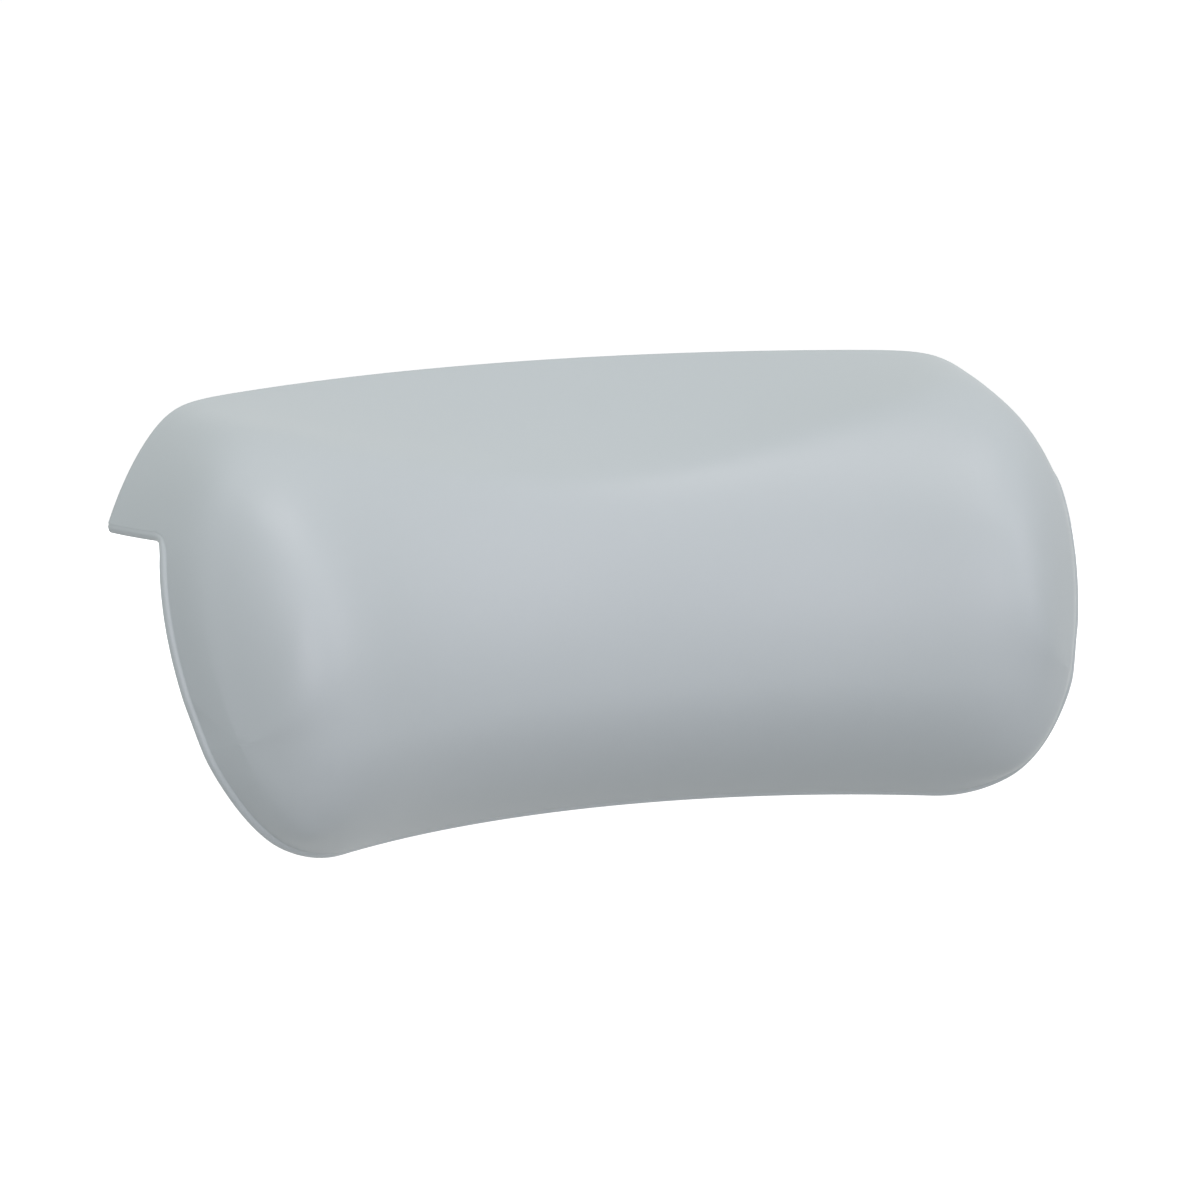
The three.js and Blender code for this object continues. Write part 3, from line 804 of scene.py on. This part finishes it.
def moulded(name, colour, tone, roughness, gloss_change, grain, depth):
    """Moulded surface with slight changes of tone and gloss, and a fine grain of a size and a depth."""
    material, nodes, links = new_material(name)
    shader = nodes["Principled BSDF"]
    place = nodes.new("ShaderNodeTexCoord")
    cloud = nodes.new("ShaderNodeTexNoise")
    cloud.inputs["Scale"].default_value = CLOUD_SCALE
    cloud.inputs["Detail"].default_value = CLOUD_DETAIL
    links.new(place.outputs["Object"], cloud.inputs["Vector"])
    shade = nodes.new("ShaderNodeMix")
    shade.data_type = "RGBA"
    shade.inputs["A"].default_value = (*[c * (1 - tone) for c in colour], 1)
    shade.inputs["B"].default_value = (*[c * (1 + tone) for c in colour], 1)
    links.new(cloud.outputs["Fac"], shade.inputs["Factor"])
    links.new(shade.outputs["Result"], shader.inputs["Base Color"])
    gloss = nodes.new("ShaderNodeMapRange")
    gloss.inputs["To Min"].default_value = roughness - gloss_change
    gloss.inputs["To Max"].default_value = roughness + gloss_change
    links.new(cloud.outputs["Fac"], gloss.inputs["Value"])
    links.new(gloss.outputs["Result"], shader.inputs["Roughness"])
    fine = nodes.new("ShaderNodeTexNoise")
    fine.inputs["Scale"].default_value = 1 / (grain * MM)
    fine.inputs["Detail"].default_value = GRAIN_DETAIL
    links.new(place.outputs["Object"], fine.inputs["Vector"])
    bump = nodes.new("ShaderNodeBump")
    bump.inputs["Strength"].default_value = 1.0
    bump.inputs["Distance"].default_value = depth * MM
    links.new(fine.outputs["Fac"], bump.inputs["Height"])
    links.new(bump.outputs["Normal"], shader.inputs["Normal"])
    return material


def clear_plastic(name, **look):
    """Moulded surface that light passes through."""
    material = moulded(name, **look)
    shader = material.node_tree.nodes["Principled BSDF"]
    shader.inputs["Transmission Weight"].default_value = CUP_CLEARNESS
    shader.inputs["IOR"].default_value = CUP_REFRACTION
    return material


def dress(piece, material, body, slot, *nodes):
    """Gives a piece its material and its body, and hides the CAD nodes that it replaces. The slot is not
    used.
    """
    piece.data.materials.clear()
    piece.data.materials.append(material)
    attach(piece, body)
    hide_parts(*nodes)


# Studio


def seen_share(nodes, links):
    """Node output that is one on rays from the camera, in gloss and through clear material."""
    path = nodes.new("ShaderNodeLightPath")
    total = path.outputs["Is Camera Ray"]
    for name in ("Is Glossy Ray", "Is Transmission Ray"):
        larger = nodes.new("ShaderNodeMath")
        larger.operation = "MAXIMUM"
        links.new(total, larger.inputs[0])
        links.new(path.outputs[name], larger.inputs[1])
        total = larger.outputs[0]
    return total


def surroundings():
    """World that is white where it is seen, and lights the scene with a dimmer, faintly tinted white."""
    world = bpy.data.worlds.new("studio")
    bpy.context.scene.world = world
    world.use_nodes = True
    nodes = world.node_tree.nodes
    links = world.node_tree.links
    background = nodes["Background"]
    seen = seen_share(nodes, links)
    colour = nodes.new("ShaderNodeMix")
    colour.data_type = "RGBA"
    colour.inputs["A"].default_value = (*WORLD_TINT, 1)
    colour.inputs["B"].default_value = WHITE
    links.new(seen, colour.inputs["Factor"])
    links.new(colour.outputs["Result"], background.inputs["Color"])
    strength = nodes.new("ShaderNodeMapRange")
    strength.inputs["To Min"].default_value = WORLD_LIGHT
    strength.inputs["To Max"].default_value = 1.0
    links.new(seen, strength.inputs["Value"])
    links.new(strength.outputs["Result"], background.inputs["Strength"])


def pale_floor():
    """Plain floor that is nearly white where it is seen and keeps its shadow."""
    corners = np.array([[-1, -1, 0], [1, -1, 0], [1, 1, 0], [-1, 1, 0]]) * FLOOR_HALF
    floor = new_object("floor", corners, [(0, 1, 2, 3)])
    floor.location.z = FLOOR_UP * MM
    material, nodes, links = new_material("pale_floor")
    shader = nodes["Principled BSDF"]
    shader.inputs["Base Color"].default_value = (*FLOOR_COLOUR, 1)
    shader.inputs["Roughness"].default_value = FLOOR_ROUGHNESS
    shader.inputs["Emission Color"].default_value = WHITE
    glow = nodes.new("ShaderNodeMath")
    glow.operation = "MULTIPLY"
    glow.inputs[1].default_value = FLOOR_GLOW
    links.new(seen_share(nodes, links), glow.inputs[0])
    links.new(glow.outputs[0], shader.inputs["Emission Strength"])
    floor.data.materials.append(material)


def area_lamp(name, place, size, power, tint, in_gloss):
    """Soft lamp that faces the pillow."""
    lamp = bpy.data.lights.new(name, "AREA")
    lamp.shape = "RECTANGLE"
    lamp.size, lamp.size_y = size
    lamp.energy = power
    lamp.color = tint
    holder = bpy.data.objects.new(name, lamp)
    bpy.context.scene.collection.objects.link(holder)
    holder.location = place
    holder.rotation_mode = "QUATERNION"
    holder.rotation_quaternion = (Vector(AIM) - Vector(place)).to_track_quat("-Z", "Y")
    holder.visible_glossy = in_gloss


def photo_camera():
    """Camera at the photograph's angle."""
    camera = bpy.data.cameras.new("camera")
    camera.sensor_width = SENSOR_WIDTH
    camera.lens = SENSOR_WIDTH * FOCAL_PIXELS / PHOTO_SIDE
    camera.shift_x = 0.5 - AIM_PIXEL[0] / PHOTO_SIDE
    camera.shift_y = AIM_PIXEL[1] / PHOTO_SIDE - 0.5
    holder = bpy.data.objects.new("camera", camera)
    bpy.context.scene.collection.objects.link(holder)
    turn = math.radians(CAMERA_AZIMUTH)
    rise = math.radians(CAMERA_ELEVATION)
    back = Vector((math.sin(turn) * math.cos(rise), -math.cos(turn) * math.cos(rise), math.sin(rise)))
    holder.location = Vector(AIM) + back * CAMERA_DISTANCE * MM
    holder.rotation_mode = "QUATERNION"
    holder.rotation_quaternion = (-back).to_track_quat("-Z", "Y")
    bpy.context.scene.camera = holder


# The pieces

skin, skin_edges = pillow_skin()
bead = edge_bead(skin_edges)
foam = pillow_foam()
plate = back_plate()
grip = lofted("pillow_rim_grip", [grip_rings(0, GRIP_GROOVE)])
cups = {name: suction_cup(name) for name in CUPS}

# Their materials, with grain sizes and depths in millimetres

SKIN = moulded(
    "soft_skin",
    colour=(0.52, 0.585, 0.595),
    tone=0.012,
    roughness=0.45,
    gloss_change=0.03,
    grain=0.8,
    depth=0.012,
)
# The bead is the skin's material coloured a little lighter: a painted highlight for the light that its
# rounded rim catches.
BEAD = moulded(
    "skin_bead_painted_highlight",
    colour=(0.54, 0.605, 0.615),
    tone=0.012,
    roughness=0.4,
    gloss_change=0.03,
    grain=0.8,
    depth=0.01,
)
FOAM = moulded(
    "cream_foam",
    colour=(0.69, 0.65, 0.48),
    tone=0.05,
    roughness=0.95,
    gloss_change=0.02,
    grain=1.2,
    depth=0.3,
)
PLATE = moulded(
    "grey_plastic",
    colour=(0.32, 0.36, 0.37),
    tone=0.03,
    roughness=0.5,
    gloss_change=0.05,
    grain=0.6,
    depth=0.03,
)
GRIP = moulded(
    "dark_rubber",
    colour=(0.15, 0.17, 0.18),
    tone=0.05,
    roughness=0.7,
    gloss_change=0.05,
    grain=0.5,
    depth=0.03,
)
CAP = moulded(
    "cap_plastic",
    colour=(0.24, 0.27, 0.28),
    tone=0.03,
    roughness=0.55,
    gloss_change=0.05,
    grain=0.6,
    depth=0.02,
)
CUP = clear_plastic(
    "clear_cup",
    colour=(0.86, 0.92, 0.94),
    tone=0.02,
    roughness=0.1,
    gloss_change=0.03,
    grain=1.5,
    depth=0.01,
)

dress(skin, SKIN, "pillow", "skin", "outer_skin")
dress(bead, BEAD, "pillow", "bead", "edge_bead")
dress(foam, FOAM, "pillow", "foam", "foam_core")
dress(plate, PLATE, "pillow", "plate", "carrier_plate")
dress(grip, GRIP, "pillow", "grip", "rim_grip")
for name, cup in cups.items():
    dress(cup, CUP, "cup_" + name, "cup", "suction_cup_" + name)
    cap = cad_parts["keyhole_cap_" + name]
    cap.data.materials.clear()
    cap.data.materials.append(CAP)

# The studio

bpy.context.scene.view_settings.view_transform = "Standard"
surroundings()
pale_floor()
for lamp in LAMPS:
    area_lamp(*lamp)
photo_camera()
